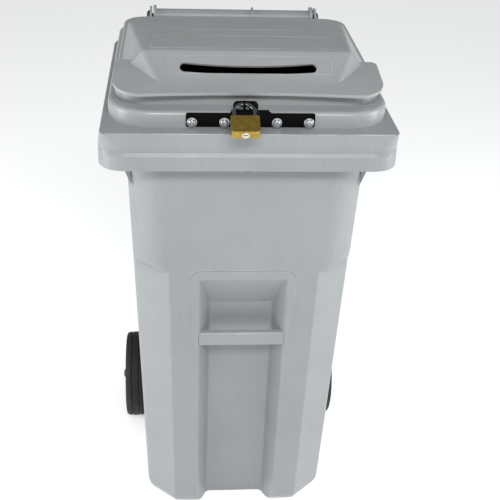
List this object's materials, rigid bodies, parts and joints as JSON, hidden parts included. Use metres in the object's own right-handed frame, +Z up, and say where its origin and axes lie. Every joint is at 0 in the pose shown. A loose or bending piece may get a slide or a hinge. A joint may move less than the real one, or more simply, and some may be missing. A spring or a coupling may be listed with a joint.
{
  "type": "lockable wheeled shredding console",
  "caption": "Tall two-wheeled grey cart with a hinged domed lid that has a paper slot, a hasp strip and staple with a brass padlock, a rear handle bar and black wheels.",
  "frame": {"origin": "on the floor under the middle of the cart's overall box, from the padlock's front to the handle's back", "axes": "+X to the cart's right as seen by someone facing the slot, +Y from the slot towards the handle and wheels, +Z up"},
  "size_m": [0.5066, 0.6656, 1.0109],
  "materials": {
    "cart_plastic": "moulded, lightly ribbed grey plastic",
    "lid_plastic": "moulded satin grey plastic",
    "black_plastic": "moulded black plastic",
    "black_steel": "black painted steel",
    "zinc": "zinc plated steel",
    "shackle_steel": "dark polished steel",
    "plug_steel": "dull metal",
    "brass": "solid brass, brushed",
    "tyre": "black rubber"
  },
  "bodies": {
    "cart": {"cart_body": "cart_plastic", "left_hinge_pin": "black_plastic", "right_hinge_pin": "black_plastic", "staple": "black_steel", "staple_spacer": "zinc", "staple_washer": "black_steel", "staple_nut": "black_steel", "axle": "zinc", "left_bush": "black_plastic", "right_bush": "black_plastic", "left_axle_cap": "black_plastic", "right_axle_cap": "black_plastic"},
    "lid": {"lid": "lid_plastic", "hasp_strip": "black_steel", "hasp_pin": "black_steel", "strip_screws": "zinc", "strip_washers": "zinc", "inner_washers": "zinc", "strip_nuts": "zinc"},
    "hasp": {"hasp_leaf": "black_steel"},
    "shackle": {"padlock_shackle": "shackle_steel"},
    "case": {"padlock_case": "brass"},
    "plug": {"key_plug": "plug_steel"},
    "left_wheel": {"left_wheel": "black_plastic", "left_tyre": "tyre"},
    "right_wheel": {"right_wheel": "black_plastic", "right_tyre": "tyre"}
  },
  "joints": [
    {"name": "lid_hinge", "type": "hinge", "parent": "cart", "child": "lid", "pos_m": [0, 0.31081, 0.948], "axis": [-1, 0, 0], "range_deg": [0, 262]},
    {"name": "hasp_fold", "type": "hinge", "parent": "lid", "child": "hasp", "pos_m": [-0.009, -0.25819, 0.9442], "axis": [1, 0, 0], "range_deg": [0, 15]},
    {"name": "padlock_swing", "type": "hinge", "parent": "cart", "child": "shackle", "pos_m": [-0.0127, -0.26829, 0.9595], "axis": [-1, 0, 0], "range_deg": [0, 54]},
    {"name": "padlock_release", "type": "slide", "parent": "shackle", "child": "case", "axis": [0, -0.8988, -0.4384], "range_m": [0, 0.012]},
    {"name": "key_turn", "type": "hinge", "parent": "case", "child": "plug", "pos_m": [-0.0127, -0.32941, 0.92969], "axis": [0, -0.8988, -0.4384], "range_deg": [0, 90]},
    {"name": "left_wheel_spin", "type": "hinge", "parent": "cart", "child": "left_wheel", "pos_m": [-0.22, 0.17781, 0.1015], "axis": [1, 0, 0], "continuous": true},
    {"name": "right_wheel_spin", "type": "hinge", "parent": "cart", "child": "right_wheel", "pos_m": [0.22, 0.17781, 0.1015], "axis": [1, 0, 0], "continuous": true}
  ]
}
